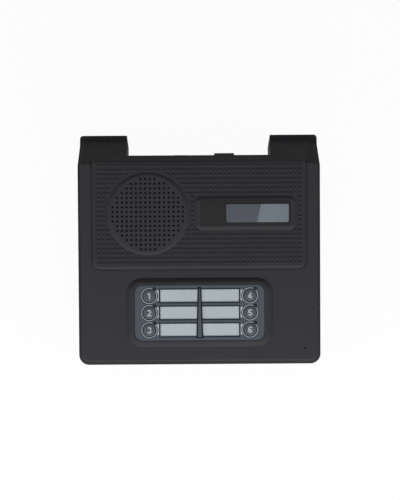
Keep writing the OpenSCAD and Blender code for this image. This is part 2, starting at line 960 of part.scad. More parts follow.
module speaker_surround() {
    edge_w = 1;
    edge_t = 0.6;
    edge_lift = 0.1;
    color(rubber_black)
        on_face(speaker_x, speaker_v)
            rotate_extrude()
                polygon([
                    [cone_r, cone_edge_w - cone_t], [frame_in - edge_w, 0], [frame_in, edge_lift],
                    [frame_in, edge_lift + edge_t], [frame_in - edge_w, edge_t], [cone_r, cone_edge_w]
                ]);
}

module speaker_cone() {
    color(ink_black)
        on_face(speaker_x, speaker_v)
            rotate_extrude()
                polygon([
                    [neck_r, -basket_h - coil_depth], [coil_outer_r, -basket_h - coil_depth],
                    [coil_outer_r, cone_w(coil_outer_r) - cone_t], [cone_r, cone_edge_w - cone_t],
                    [cone_r, cone_edge_w], [neck_r, cone_neck_w]
                ]);
}

module dust_cap() {
    cap_lap = 2.5;
    cap_r = neck_r + cap_lap;
    cap_rise = 2.4;
    cap_edge = 0.4;
    rest = 0.01;
    color(ink_black)
        on_face(speaker_x, speaker_v)
            rotate_extrude()
                polygon([
                    [0, cone_w(cap_r) + cap_rise], [cap_r / 2, cone_w(cap_r) + 0.72 * cap_rise],
                    [cap_r, cone_w(cap_r) + rest], [cap_r - cap_edge, cone_w(cap_r - cap_edge) + rest],
                    [cap_r / 2, cone_w(cap_r) + 0.56 * cap_rise], [0, cone_w(cap_r) + 0.82 * cap_rise]
                ]);
}

module speaker_screws() {
    shank = washer_t + speaker_seat - screw_tip_gap;
    color(steel)
        on_face(speaker_x, speaker_v)
            for (a = clamp_angles)
                rotate([0, 0, a])
                    translate([clamp_r, 0, 0]) {
                        translate([0, 0, -washer_t])
                            cylinder(h = washer_t, r = washer_r);
                        translate([0, 0, -washer_t])
                            screw(small_screw_d, shank, small_head_r, small_head_h);
                    }
}

module mic_boot() {
    color(rubber_black)
        on_face(mic_x, mic_v, -boot_h)
            difference() {
                cylinder(h = boot_h, r = mic_d / 2 + boot_wall);
                translate([0, 0, -past])
                    cylinder(h = boot_h - boot_lid + past, r = mic_d / 2 + mic_slack);
                cylinder(h = boot_h + past, d = mic_hole_d + 2 * boot_relief);
            }
}

module microphone() {
    color(steel)
        on_face(mic_x, mic_v, -boot_h)
            cylinder(h = boot_h - boot_lid, d = mic_d);
}

module name_label() {
    color(ink_black)
        on_face(plate_x, plate_v, plate_top - label_t)
            linear_extrude(label_t)
                round_rect(label_w, label_len, label_r);
}

module badge_plate() {
    color(badge_grey)
        on_face(plate_x + badge_shift, plate_v, plate_top)
            linear_extrude(badge_t)
                round_rect(badge_w, badge_len, badge_r);
}

// Outline of one name window, whose inner end follows the divider
module window_outline(side, row, inset) {
    y0 = row * row_pitch - window_len / 2 + inset;
    y1 = row * row_pitch + window_len / 2 - inset;
    inner = window_gap + inset;
    polygon([
        [side * (window_out - inset), y0], [side * (window_out - inset), y1],
        [side * (divider_half(y1) + inner), y1], [side * (divider_half(y0) + inner), y0]
    ]);
}

module all_windows(inset, t) {
    for (side = [-1, 1], row = [-1 : 1])
        linear_extrude(t)
            window_outline(side, row, inset);
}

module key_overlay() {
    divider_h = 0.25;
    half_len = divider_len / 2;
    color(overlay_grey)
        on_face(0, keys_v, overlay_seat) {
            difference() {
                linear_extrude(overlay_t)
                    round_rect(overlay_w, overlay_len, overlay_r);
                for (i = [1 : 6])
                    translate([key_x(i), key_y(i), -past]) {
                        cylinder(h = overlay_t + 2 * past, d = button_d + 2 * button_play);
                        translate([led_dx, led_dy, 0])
                            cylinder(h = overlay_t + 2 * past, d = led_d + 2 * thread_play);
                    }
                translate([0, 0, -past])
                    all_windows(0, overlay_t + 2 * past);
            }
            linear_extrude(overlay_t + divider_h)
                polygon([
                    [-divider_half(half_len), half_len], [divider_half(half_len), half_len],
                    [divider_half(-half_len), -half_len], [-divider_half(-half_len), -half_len]
                ]);
        }
}

module name_cards() {
    color(card_grey)
        on_face(0, keys_v, overlay_seat)
            all_windows(card_play, card_t);
}

module window_lenses() {
    color(card_grey)
        on_face(0, keys_v, overlay_seat + card_t)
            all_windows(card_play, lens_t);
}

module led_lenses() {
    color(rubber_black)
        for (i = [1 : 6])
            on_face(key_x(i) + led_dx, keys_v - key_y(i) - led_dy, overlay_seat)
                cylinder(h = overlay_t + led_proud, d = led_d);
}

// Button cap with its retaining flange, cut away beside the lamp, and its stem
module call_button(i) {
    flange_w = key_under - button_stop - button_flange_t;
    cap_top = bezel_top + button_rise;
    color(button_grey)
        on_face(key_x(i), keys_v - key_y(i)) {
            intersection() {
                translate([0, 0, flange_w])
                    cylinder(h = cap_top - flange_w + past, d = button_d);
                translate([0, 0, cap_top - button_crown])
                    sphere(button_crown, $fn = 96);
            }
            difference() {
                translate([0, 0, flange_w])
                    cylinder(h = button_flange_t, r = button_flange_r);
                translate([led_dx, led_dy, flange_w - past])
                    cylinder(h = button_flange_t + 2 * past, d = led_body_d + 2 * led_collar + 2 * fit_gap);
            }
            translate([0, 0, switch_top + plunger_out])
                cylinder(h = flange_w + bite - switch_top - plunger_out, r = stem_r);
        }
}

module switch_plunger(i) {
    color(ink_black)
        on_face(key_x(i), keys_v - key_y(i), switch_top - plunger_in)
            cylinder(h = plunger_out + plunger_in, r = plunger_r);
}

module key_switches() {
    well = plunger_in + button_travel + fit_gap;
    color(ink_black)
        for (i = [1 : 6])
            on_face(key_x(i), keys_v - key_y(i), key_board_top)
                difference() {
                    translate([-switch_w / 2, -switch_w / 2, 0])
                        cube([switch_w, switch_w, switch_h]);
                    translate([0, 0, switch_h - well])
                        cylinder(h = well + past, r = plunger_r + plunger_play);
                }
}

module call_leds() {
    foot_w = led_top - led_body_h;
    color(wire_red)
        for (i = [1 : 6])
            on_face(key_x(i) + led_dx, keys_v - key_y(i) - led_dy) {
                translate([0, 0, foot_w])
                    cylinder(h = led_body_h, d = led_body_d);
                translate([0, 0, foot_w])
                    cylinder(h = led_collar_h, d = led_body_d + 2 * led_collar);
                for (x = [-1, 1])
                    translate([x * lead_pitch / 2 - lead_t / 2, -lead_t / 2, key_board_top])
                        cube([lead_t, lead_t, foot_w - key_board_top + bite]);
            }
}

module key_board() {
    color(board_green)
        on_face(0, keys_v, key_board_under)
            difference() {
                translate([-key_board_w / 2, -key_board_len / 2, 0])
                    cube([key_board_w, key_board_len, pcb_t]);
                for (p = key_post_at)
                    translate([p[0], p[1], -past])
                        cylinder(h = pcb_t + 2 * past, d = small_screw_d + 2 * fit_gap);
            }
}

module key_board_screws() {
    color(steel)
        for (p = key_post_at)
            on_face(p[0], keys_v - p[1], key_board_under)
                screw(small_screw_d, pcb_t + key_screw_grip, small_head_r, small_head_h);
}

// Flat cable from under the key board to the front of the main board
module ribbon_cable() {
    top = face_point(0, keys_v - key_header_y, key_board_under - header_h - cable_end_gap);
    header_top = main_top + header_h + cable_end_gap;
    low = floor_z + ribbon_lift;
    bend = 4;
    path = curve([
        [top[1], top[2]], [top[1] + bend / 4, top[2] - bend], [top[1] + 2 * bend, low],
        [main_front - 3 * bend, low], [main_front - 0.75 * bend, main_top + bend],
        [main_front + bend, header_top + 1.5 * bend],
        [main_header_y - 0.375 * bend, header_top + 1.375 * bend],
        [main_header_y, header_top + bend / 2], [main_header_y, header_top]
    ], 3);
    function side(i, d) = let (t = direction(path, i)) path[i] + d * [-t[1], t[0]];
    last = len(path) - 1;
    color(card_grey)
        translate([ribbon_x, 0, 0])
            side_extrude(ribbon_w)
                polygon(concat(
                    [for (i = [0 : last]) side(i, ribbon_t / 2)],
                    [for (i = [last : -1 : 0]) side(i, -ribbon_t / 2)]
                ));
}

module speaker_leads() {
    lead_r = 0.6;
    tag_half = 2;
    plug_half = 1.3;
    bend = 2;
    header_top = main_top + header_h + cable_end_gap;
    color(wire_red)
        for (s = [-1, 1]) {
            joint_x = speaker_x + tag_r * cos(tag_turn) - s * tag_half * sin(tag_turn);
            joint_v = speaker_v - tag_r * sin(tag_turn) - s * tag_half * cos(tag_turn);
            from = face_point(joint_x, joint_v, -tag[2] - cable_end_gap);
            to = [speaker_header_x + s * plug_half, speaker_header_y, header_top];
            wire(curve([
                from, from + bend * [0, 0.3, -1], from + bend * [0, -0.5, -3.5],
                to + bend * [0, -0.5, 3], to + [0, 0, bend], to
            ], 4), lead_r);
        }
}

// Two leads from the microphone, round the front screw's boss, to the end of the key board
module mic_leads() {
    lead_r = 0.5;
    pin_half = 1;
    pad_half = 1.6;
    pad_in = 4;
    pad_low = 9;
    lead_stub = 1.5;
    lead_sink = 12;
    pad_x = key_board_w / 2 - pad_in;
    pad_v = keys_v + pad_low;
    boss_clear = 5.5;
    round_boss = column_r + boss_clear;
    boss_x = case_w / 2 - case_screw_in;
    boss_y = front_y + case_screw_front;
    color(wire_red)
        for (s = [-1, 1]) {
            pin_v = mic_v + s * pin_half;
            pin_w = -boot_h - cable_end_gap;
            pad_s_v = pad_v + s * pad_half;
            pad_w = key_board_under - cable_end_gap;
            before_y = boss_y - round_boss;
            before = [boss_x, before_y - s * pin_half, cover_under_z(before_y) - lead_sink];
            beside = [boss_x - round_boss, boss_y - s * pin_half, cover_under_z(boss_y) - lead_sink];
            wire(concat(
                [face_point(mic_x, pin_v, pin_w)],
                curve([
                    face_point(mic_x, pin_v, pin_w - lead_stub), before, beside,
                    face_point(pad_x, pad_s_v, pad_w - lead_stub)
                ], 6),
                [face_point(pad_x, pad_s_v, pad_w)]
            ), lead_r);
        }
}

module case_screws() {
    color(steel)
        for (p = case_screw_at)
            translate([p[0], p[1], boss_foot_z(p[1]) - screw_seat_t])
                screw(case_screw_d, case_screw_len, case_head_r, case_head_h);
}

base_case();
rubber_feet();
main_board();
board_screws();
line_socket();
power_socket();
audio_chip();
capacitors();
cable_headers();
top_cover();
grille_cloth();
speaker_gasket();
speaker_frame();
speaker_magnet();
speaker_surround();
speaker_cone();
dust_cap();
speaker_screws();
mic_boot();
microphone();
name_label();
badge_plate();
key_overlay();
name_cards();
window_lenses();
led_lenses();
call_button(1);  // call_button_1
call_button(2);  // call_button_2
call_button(3);  // call_button_3
call_button(4);  // call_button_4
call_button(5);  // call_button_5
call_button(6);  // call_button_6
switch_plunger(1);  // switch_plunger_1
switch_plunger(2);  // switch_plunger_2
switch_plunger(3);  // switch_plunger_3
switch_plunger(4);  // switch_plunger_4
switch_plunger(5);  // switch_plunger_5
switch_plunger(6);  // switch_plunger_6
key_switches();
call_leds();
key_board();
key_board_screws();
ribbon_cable();
speaker_leads();
mic_leads();
case_screws();
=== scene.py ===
from math import cos, floor, hypot, pi, radians, sin, sqrt, tan

import bmesh
import bpy
from mathutils import Matrix, Vector
from mathutils.geometry import delaunay_2d_cdt


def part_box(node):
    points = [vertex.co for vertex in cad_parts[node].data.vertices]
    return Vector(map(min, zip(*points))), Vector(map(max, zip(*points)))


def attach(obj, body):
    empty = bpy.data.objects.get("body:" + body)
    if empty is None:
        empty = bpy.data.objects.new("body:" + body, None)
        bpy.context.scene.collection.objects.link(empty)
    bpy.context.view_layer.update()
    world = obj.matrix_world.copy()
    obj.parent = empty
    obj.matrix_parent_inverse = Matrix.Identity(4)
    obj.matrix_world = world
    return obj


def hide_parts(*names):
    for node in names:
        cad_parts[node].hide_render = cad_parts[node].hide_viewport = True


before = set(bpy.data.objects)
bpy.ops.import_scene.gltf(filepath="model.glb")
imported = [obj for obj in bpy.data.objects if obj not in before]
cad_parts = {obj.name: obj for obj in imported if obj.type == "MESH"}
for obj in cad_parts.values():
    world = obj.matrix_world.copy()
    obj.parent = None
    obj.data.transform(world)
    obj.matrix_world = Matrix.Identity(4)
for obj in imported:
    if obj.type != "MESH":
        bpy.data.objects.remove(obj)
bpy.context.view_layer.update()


# Base case: an open wedge tray, moulded in dark grey plastic with a finely etched skin.
# Its rim shows as a thin line round the cover, and two legs at the rear leave a notch
# between them for the plugs. The mould gives every edge a small round.
class Shade:
    """One output of a material's nodes, so that the maths of a finish reads as Python."""

    def __init__(self, tree, socket=None):
        self.tree = tree
        self.socket = socket

    def node(self, kind, settings=None, sockets=None, output=0):
        made = self.tree.nodes.new("ShaderNode" + kind)
        for name, value in (settings or {}).items():
            if name == "stops":
                ramp = made.color_ramp.elements
                ramp.remove(ramp[1])
                ramp[0].position, ramp[0].color = value[0]
                for place, colour in value[1:]:
                    ramp.new(place).color = colour
            else:
                setattr(made, name, value)
        for name, value in (sockets or {}).items():
            self.feed(made.inputs[name], value)
        return Shade(self.tree, made.outputs[output])

    def feed(self, socket, value):
        if isinstance(value, Shade):
            self.tree.links.new(value.socket, socket)
        else:
            socket.default_value = value

    def maths(self, operation, a, b):
        return self.node("Math", {"operation": operation}, {0: a, 1: b})

    def between(self, low, high):
        """How far this value lies from low to high, held within 0 and 1."""
        return self.node("MapRange", {}, {"Value": self, "From Min": low, "From Max": high})

    def tint(self, dark, light):
        """A colour between two others, by this value."""
        return self.node("Mix", {"data_type": "RGBA"}, {0: self, 6: dark, 7: light}, 2)

    def relief(self, strength, distance=0.0001):
        """A bumpy surface with this value as its height."""
        return self.node("Bump", {}, {"Strength": strength, "Distance": distance, "Height": self})

    def __add__(self, other):
        return self.maths("ADD", self, other)

    def __sub__(self, other):
        return self.maths("SUBTRACT", self, other)

    def __mul__(self, other):
        return self.maths("MULTIPLY", self, other)

    def __radd__(self, other):
        return self.maths("ADD", other, self)

    def __rsub__(self, other):
        return self.maths("SUBTRACT", other, self)

    def __rmul__(self, other):
        return self.maths("MULTIPLY", other, self)


def ink(code, level=1.0):
    """A colour from its screen code, made darker or lighter by a level."""
    parts = [int(code[i:i + 2], 16) / 255 for i in (1, 3, 5)]
    linear = [p / 12.92 if p <= 0.04045 else ((p + 0.055) / 1.055) ** 2.4 for p in parts]
    return tuple(level * p for p in linear) + (1.0,)


def new_finish(name):
    """A fresh material: itself, a start for its nodes, and its shader."""
    material = bpy.data.materials.new(name)
    material.use_nodes = True
    tree = material.node_tree
    return material, Shade(tree), tree.nodes["Principled BSDF"]


def moulded_plastic(name, code, roughness=0.55, etch=0.35, mottle=0.1, wear_and_highlight=0.0, gloss=0.25):
    """Plastic with an etched skin: fine grain, faint clouding, and edges lightened partly as rubbing
    and partly as a painted highlight.
    """
    material, start, shader = new_finish(name)
    shader.inputs["Specular IOR Level"].default_value = gloss
    place = start.node("TexCoord", output="Object")
    cloud = start.node("TexNoise", {}, {"Vector": place, "Scale": 38.0, "Detail": 4.0})
    fine = {"Vector": place, "Scale": 2300.0, "Detail": 2.0, "Roughness": 0.6}
    grain = start.node("TexNoise", {}, fine)
    speck = start.node("TexVoronoi", {}, {"Vector": place, "Scale": 1500.0})
    shade = cloud * 0.6 + grain * 0.4
    colour = shade.tint(ink(code, 1 - mottle), ink(code, 1 + mottle))
    if wear_and_highlight:
        # Pointy edges are tinted lighter: part rubbed wear, part painted highlight along the edges.
        edge = start.node("NewGeometry", output="Pointiness").between(0.53, 0.64) * wear_and_highlight
        colour = edge.tint(colour, ink(code, 1.9))
    start.feed(shader.inputs["Base Color"], colour)
    start.feed(shader.inputs["Roughness"], roughness + (grain - 0.5) * 0.16 + (cloud - 0.5) * 0.1)
    skin = grain * 0.6 + speck * 0.4
    start.feed(shader.inputs["Normal"], skin.relief(etch, 0.00012))
    return material


def dress(material, *nodes):
    """Gives the finish to parts of the frame that keep their shape."""
    for name in nodes:
        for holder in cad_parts[name].material_slots:
            holder.material = material


def soften(width_mm, *nodes, segments=3):
    """Rounds the sharp edges of parts of the frame, as a mould or a die leaves them."""
    for name in nodes:
        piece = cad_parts[name]
        piece.modifiers.new("joined", "WELD").merge_threshold = 2e-6
        flats = piece.modifiers.new("flats", "DECIMATE")
        flats.decimate_type = "DISSOLVE"
        flats.angle_limit = radians(0.4)
        edges = piece.modifiers.new("edges", "BEVEL")
        edges.width = width_mm / 1000
        edges.segments = segments
        edges.limit_method = "ANGLE"
        edges.angle_limit = radians(34)
        edges.use_clamp_overlap = True
        piece.modifiers.new("shading", "WEIGHTED_NORMAL").keep_sharp = True


# The case's edges get the lightening: part wear, part painted highlight.
case_plastic = moulded_plastic("case_plastic", "#343336", wear_and_highlight=0.4, gloss=0.03)
dress(case_plastic, "base_case")
soften(0.5, "base_case")


# Rubber feet: four soft black discs pressed into shallow seats under the base.
# Cut from moulded sheet, they are dull and slightly dusty.
def soft_rubber(name, code):
    """Matt rubber with a fine pitted skin and paler dust in patches."""
    material, start, shader = new_finish(name)
    place = start.node("TexCoord", output="Object")
    cloud = start.node("TexNoise", {}, {"Vector": place, "Scale": 120.0, "Detail": 5.0})
    dust = cloud.between(0.45, 0.75)
    pits = start.node("TexNoise", {}, {"Vector": place, "Scale": 1800.0, "Detail": 3.0})
    start.feed(shader.inputs["Base Color"], (dust * 0.6).tint(ink(code), ink("#4a4845")))
    start.feed(shader.inputs["Roughness"], 0.78 + dust * 0.15)
    start.feed(shader.inputs["Normal"], pits.relief(0.4, 0.0002))
    return material


black_rubber = soft_rubber("black_rubber", "#1b1b1c")
dress(black_rubber, "rubber_feet", "mic_boot", "speaker_gasket", "speaker_surround")
soften(0.5, "rubber_feet")


# Circuit boards: glass-fibre sheet under green lacquer, the main board on posts in the base
# and the key board hung under the cover, each held by small screws.
def circuit_board(name):
    """Green lacquer over a woven base, with darker copper runs showing through."""
    material, start, shader = new_finish(name)
    place = start.node("TexCoord", output="Object")
    weave = start.node("TexWave", {}, {"Vector": place, "Scale": 260.0, "Distortion": 1.5})
    runs = start.node("TexVoronoi", {"feature": "DISTANCE_TO_EDGE"}, {"Vector": place, "Scale": 150.0})
    copper = 1 - runs.between(0.02, 0.06)
    lacquer = (weave * 0.5 + 0.2).tint(ink("#1f4a2c"), ink("#2b5e39"))
    start.feed(shader.inputs["Base Color"], (copper * 0.6).tint(lacquer, ink("#3f7a4a")))
    start.feed(shader.inputs["Roughness"], 0.32 + weave * 0.14)
    start.feed(shader.inputs["Normal"], copper.relief(0.3))
    return material


dress(circuit_board("board_lacquer"), "main_board", "key_board")


# Screws and the loudspeaker's frame: zinc-plated steel, drawn or rolled, with a bluish sheen
# and fine scratches. The screws go into posts of the two mouldings.
def plated_steel(name, code):
    """Zinc plate: brushed along one way, clouded, with a few dull spots."""
    material, start, shader = new_finish(name)
    place = start.node("TexCoord", output="Object")
    long = start.node("Mapping", {}, {"Vector": place, "Scale": (40.0, 900.0, 900.0)})
    brush = start.node("TexNoise", {}, {"Vector": long, "Scale": 1.6, "Detail": 4.0})
    cloud = start.node("TexNoise", {}, {"Vector": place, "Scale": 420.0, "Detail": 3.0})
    spots = cloud.between(0.55, 0.75)
    start.feed(shader.inputs["Base Color"], brush.tint(ink(code, 0.75), ink(code, 1.1)))
    start.feed(shader.inputs["Roughness"], 0.28 + brush * 0.16 + spots * 0.2)
    start.feed(shader.inputs["Metallic"], 1 - spots * 0.25)
    start.feed(shader.inputs["Normal"], brush.relief(0.12))
    return material


zinc_plate = plated_steel("zinc_plate", "#b4b6ba")
dress(zinc_plate, "board_screws", "key_board_screws", "speaker_screws", "case_screws", "speaker_frame")


# Sockets and parts soldered to the boards: black moulded bodies. The line socket looks out
# of the rear wall through its window, with the power socket beside it.
black_plastic = moulded_plastic("black_plastic", "#1c1c1e", roughness=0.42, etch=0.2)
dress(black_plastic, "line_socket", "power_socket", "audio_chip", "capacitors", "key_switches")
dress(black_plastic, *["switch_plunger_%d" % i for i in range(1, 7)])
soften(0.25, "line_socket", "power_socket")
dress(moulded_plastic("header_plastic", "#d5d0c4", roughness=0.45, etch=0.15), "cable_headers")


# Loudspeaker: a pressed paper cone with a dust cap, a rubber surround and a coated magnet,
# clamped under the grille behind a dark cloth.
def pressed_paper(name, code, fibre=700.0, relief=0.1):
    """Paper pulp: short fibres, uneven tone and a dry surface."""
    material, start, shader = new_finish(name)
    place = start.node("TexCoord", output="Object")
    pulp = {"Vector": place, "Scale": fibre, "Detail": 6.0, "Roughness": 0.7}
    fibres = start.node("TexNoise", {}, pulp)
    tone = start.node("TexNoise", {}, {"Vector": place, "Scale": 55.0, "Detail": 2.0})
    shade = fibres * 0.5 + tone * 0.5
    start.feed(shader.inputs["Base Color"], shade.tint(ink(code, 0.93), ink(code, 1.07)))
    start.feed(shader.inputs["Roughness"], 0.72 + fibres * 0.2)
    start.feed(shader.inputs["Normal"], fibres.relief(relief))
    return material


def woven_cloth(name, code):
    """Thin black cloth with its threads crossing."""
    material, start, shader = new_finish(name)
    place = start.node("TexCoord", output="Object")
    yarn = {"Vector": place, "Scale": 420.0, "Distortion": 0.6}
    warp = start.node("TexWave", {"bands_direction": "X"}, yarn)
    weft = start.node("TexWave", {"bands_direction": "Y"}, yarn)
    threads = start.maths("MAXIMUM", warp, weft)
    start.feed(shader.inputs["Base Color"], threads.tint(ink(code, 0.5), ink(code, 1.4)))
    start.feed(shader.inputs["Roughness"], 0.8 + threads * 0.15)
    start.feed(shader.inputs["Normal"], threads.relief(0.6, 0.0002))
    return material


dress(pressed_paper("cone_paper", "#1d1c1b"), "speaker_cone", "dust_cap")
black_cloth = woven_cloth("black_cloth", "#0d0d0e")
dress(black_cloth, "microphone")
dress(moulded_plastic("magnet_coat", "#202123", roughness=0.35, etch=0.25), "speaker_magnet")


# Top cover: one moulding with the sloping face, the ridge and the rear slope. On it stand the grille
# panel, hooked over the ridge and with painted shade darkening its field between the dots, the round
# grille, the name plate's frame and the bezel of the call panel, all with rounded edges. Grille and
# microphone hole are drilled.
face_tilt = radians(15)
rear_tilt = radians(45)
notch_lean = radians(12)
front_h = 20.0
front_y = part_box("base_case")[0].y * 1000
face_len = 149.5
rear_len = 35.5
cover_t = 2.5
cover_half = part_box("top_cover")[1].x * 1000
bend_r = 0.8
bend = face_tilt + rear_tilt
bend_reach = 3.0
bend_run = bend_r * tan(bend / 2)
bend_from = face_len - bend_run
bend_to = bend_from + bend_r * bend
cover_from = 2.9
rear_rim = 0.6
cover_to = bend_to + rear_len - bend_run - rear_rim
notch_half = 53.5
notch_down = 13.4
notch_from = bend_to + notch_down - bend_run
front_round = 5.7
leg_round = 2.5
leg_inner_round = 1.2
edge_round = 0.8
panel = {"w": 158.8, "r": 6.0, "rear_r": 0.4, "h": 1.8, "edge": 2.4, "groove": (0.4, 0.4)}
panel_hook = 6.0
panel_from = face_len - 78.2
panel_to = bend_to + panel_hook - bend_run
panel.update(l=panel_to - panel_from, x=0.0, s=(panel_from + panel_to) / 2)
groove_w = 0.8
speaker_x = -38.0
speaker_s = face_len - 37.2
grille_r = 30.6
grille_h = 1.2
grille_edge = 2.6
hole_pitch = 3.47
hole_r = 0.8
hole_lip = 0.22
lip_drop = 0.132
hole_reach = 7.7
plate = {"w": 74.3, "l": 25.0, "r": 4.6, "h": 1.5, "edge": 3.0, "x": 34.5, "s": face_len - 36.9}
label_seat = {"w": 66.9, "l": 18.8, "r": 1.15, "x": plate["x"], "s": plate["s"]}
keys_s = face_len - 110.7
bezel = {"w": 107.0, "l": 50.9, "r": 10.5, "h": 2.4, "edge": 4.0, "groove": (0.1, 0.4)}
bezel.update(x=0.0, s=keys_s)
overlay_seat = {"w": 96.6, "l": 41.5, "r": 5.9, "x": 0.0, "s": keys_s}
mic_x = 78.1
mic_s = face_len - 137.6
mic_r = 0.65
wall_run = 6.0
tolerance = 0.01
least_r = 0.05
corner_steps = 9
hole_sides = 14
grille_sides = 96


def on_face(x, s, h):
    """Point at x, s up the sloping face from the front rim, and h above the cover."""
    y = front_y + s * cos(face_tilt) - (cover_t + h) * sin(face_tilt)
    z = front_h + s * sin(face_tilt) + (cover_t + h) * cos(face_tilt)
    return Vector((x, y, z)) / 1000


def on_cover(x, s, h):
    """Point like on_face's that follows the cover over its ridge and down its rear slope.
    The section is stretched near the ridge, so that the ridge is as sharp at any height."""
    mitre = h * tan(bend / 2)
    stretch = mitre * max(1 - max(bend_from - s, s - bend_to, 0) / bend_reach, 0)
    if s < bend_from:
        return on_face(x, s + stretch, h)
    lean = min((s - bend_from) / bend_r, bend) - face_tilt
    past = max(s - bend_to, 0) + mitre - stretch
    y = bend_r * sin(lean) + past * cos(rear_tilt)
    z = bend_r * cos(lean) - past * sin(rear_tilt)
    return on_face(x, bend_from + mitre, h - bend_r) + Vector((0, y, z)) / 1000


def inside(x, s, form):
    """How far a point lies inside a rectangle with round corners."""
    r = form.get("rear_r", form["r"]) if s > form["s"] else form["r"]
    over_x = abs(x - form["x"]) - form["w"] / 2 + r
    over_s = abs(s - form["s"]) - form["l"] / 2 + r
    return r - hypot(max(over_x, 0), max(over_s, 0)) - min(max(over_x, over_s), 0)


def swell(depth, form):
    """Rounded rise of a raised form, by the depth inside its border."""
    return form["h"] * sin(min(max(depth / form["edge"], 0), 1) * pi / 2)


far = 300.0
sheet_form = {"w": 2 * cover_half, "l": 2 * far, "r": front_round, "x": 0.0, "s": cover_from + far}
leg_form = {"w": cover_half - notch_half, "l": 2 * far, "r": leg_round, "s": cover_to - far}
leg_form["x"] = (cover_half + notch_half) / 2
grille = {"h": grille_h, "edge": grille_edge}


def border(x, s):
    """How far a point lies inside the cover's outline."""
    return min(inside(x, s, sheet_form), max(notch_from - s, inside(abs(x), s, leg_form)))


def nearest_hole(x, s):
    """Distance to the nearest hole of the grille."""
    i = floor((x - speaker_x) / hole_pitch) + 0.5
    j = floor((s - speaker_s) / hole_pitch) + 0.5
    if hypot(i, j) > hole_reach:
        return hole_pitch
    return hypot(x - speaker_x - i * hole_pitch, s - speaker_s - j * hole_pitch)


def cover_height(x, s):
    """Height of the cover's skin over its plain level, before its outer edge is rounded."""
    height = 0.0
    for form in (panel, bezel):
        depth = inside(x, s, form)
        height += swell(depth, form)
        if -groove_w < depth < 0:
            front, rear = form["groove"]
            back = min(max((s - form["s"]) / form["l"] + 0.5, 0), 1)
            height -= (front + (rear - front) * back) * sin(-depth / groove_w * pi)
    height += swell(grille_r - hypot(x - speaker_x, s - speaker_s), grille)
    return height + swell(inside(x, s, plate), plate)


def cover_top(x, s):
    """Point on the cover's skin."""
    height = cover_height(x, s)
    near = edge_round - min(max(border(x, s), 0), edge_round)
    height -= edge_round - sqrt(edge_round ** 2 - near ** 2)
    near_hole = min(nearest_hole(x, s) - hole_r, hypot(x - mic_x, s - mic_s) - mic_r)
    height -= lip_drop * (1 - min(max(near_hole / hole_lip, 0), 1))
    return on_cover(x, s, height)


def cover_under(x, s):
    """Point under the skin, moved so that the outer walls stand as the case's own walls do."""
    ahead = (cover_from + 2 * wall_run - s) / wall_run
    shift = -cover_t * tan(face_tilt) * min(max(ahead, 0), 1)
    if s > notch_from - tolerance:
        if abs(x) <= notch_half + tolerance and s < notch_from + tolerance:
            shift = cover_t / tan(pi / 2 - rear_tilt - notch_lean)
        else:
            shift = -cover_t * min(max((s - cover_to) / wall_run + 1, 0), 1)
    return on_cover(x, s + shift, cover_height(x, s) - cover_t)


def arc(x, s, r, start, stop, steps):
    """Points round an arc, from one angle to another in quarter turns."""
    angles = [(start + (stop - start) * k / steps) * pi / 2 for k in range(steps + 1)]
    return [(x + r * cos(a), s + r * sin(a)) for a in angles]


def ring(x, s, r, steps):
    """Points round a full circle."""
    return arc(x, s, r, 0, 4, steps)[:-1]


def form_loop(form, inset):
    """Outline of a rectangle with round corners, moved in by an inset."""
    corners = [(1, 1), (-1, 1), (-1, -1), (1, -1)]
    points = []
    for turn, (i, j) in enumerate(corners):
        r = max((form.get("rear_r", form["r"]) if j > 0 else form["r"]) - inset, least_r)
        dx = form["w"] / 2 - inset - r
        ds = form["l"] / 2 - inset - r
        points += arc(form["x"] + i * dx, form["s"] + j * ds, r, turn, turn + 1, corner_steps)
    return points


def cover_outline(inset):
    """Outline of the unrolled cover, with its notch, moved in by an inset."""
    def corner(x, s, radius, turn):
        r = max(radius - inset, least_r)
        way_x, way_s = [(-1, -1), (1, -1), (1, 1), (-1, 1)][turn]
        middle = (x + way_x * (inset + r), s + way_s * (inset + r))
        return arc(*middle, r, turn, turn + 1, corner_steps)

    points = corner(-cover_half, cover_from, front_round, 2)
    points += corner(cover_half, cover_from, front_round, 3)
    points += corner(cover_half, cover_to, leg_round, 0)
    points += corner(notch_half, cover_to, leg_inner_round, 1)
    points += [(side * (notch_half + inset), notch_from - inset) for side in (1, -1)]
    points += corner(-notch_half, cover_to, leg_inner_round, 0)
    return points + corner(-cover_half, cover_to, leg_round, 1)


def cut_sheet(mesh, loops, lines, kept, top, under):
    """Fills an outline with a skin and an underside, walled where its border and holes run."""
    points = []
    edges = []
    for loop in loops:
        first = len(points)
        points += loop
        edges += [(first + k, first + (k + 1) % len(loop)) for k in range(len(loop))]
    for line in lines:
        first = len(points)
        points += line
        edges += [(first + k, first + k + 1) for k in range(len(line) - 1)]
    spots, _, faces, *_ = delaunay_2d_cdt([Vector(p) for p in points], edges, [], 0, 1e-4)
    faces = [f for f in faces if kept(*(sum((spots[i] for i in f), Vector((0, 0))) / len(f)))]
    used = sorted({i for f in faces for i in f})
    above = {i: mesh.verts.new(top(*spots[i])) for i in used}
    below = {i: mesh.verts.new(under(*spots[i])) for i in used}
    sides = {(f[k - 1], f[k]) for f in faces for k in range(len(f))}
    for f in faces:
        mesh.faces.new([above[i] for i in f])
        mesh.faces.new([below[i] for i in reversed(f)])
    for a, b in sides:
        if (b, a) not in sides:
            mesh.faces.new([above[b], above[a], below[a], below[b]])


def finished_piece(name, mesh, material, body, crease=35):
    """Turns a mesh in the making into a named piece that rides on a body."""
    bmesh.ops.recalc_face_normals(mesh, faces=mesh.faces)
    for face in mesh.faces:
        face.smooth = True
    for edge in mesh.edges:
        if edge.is_manifold and edge.calc_face_angle(0) > radians(crease):
            edge.smooth = False
    data = bpy.data.meshes.new(name)
    mesh.to_mesh(data)
    mesh.free()
    data.materials.append(material)
    piece = bpy.data.objects.new(name, data)
    bpy.context.collection.objects.link(piece)
    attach(piece, body)
    return piece


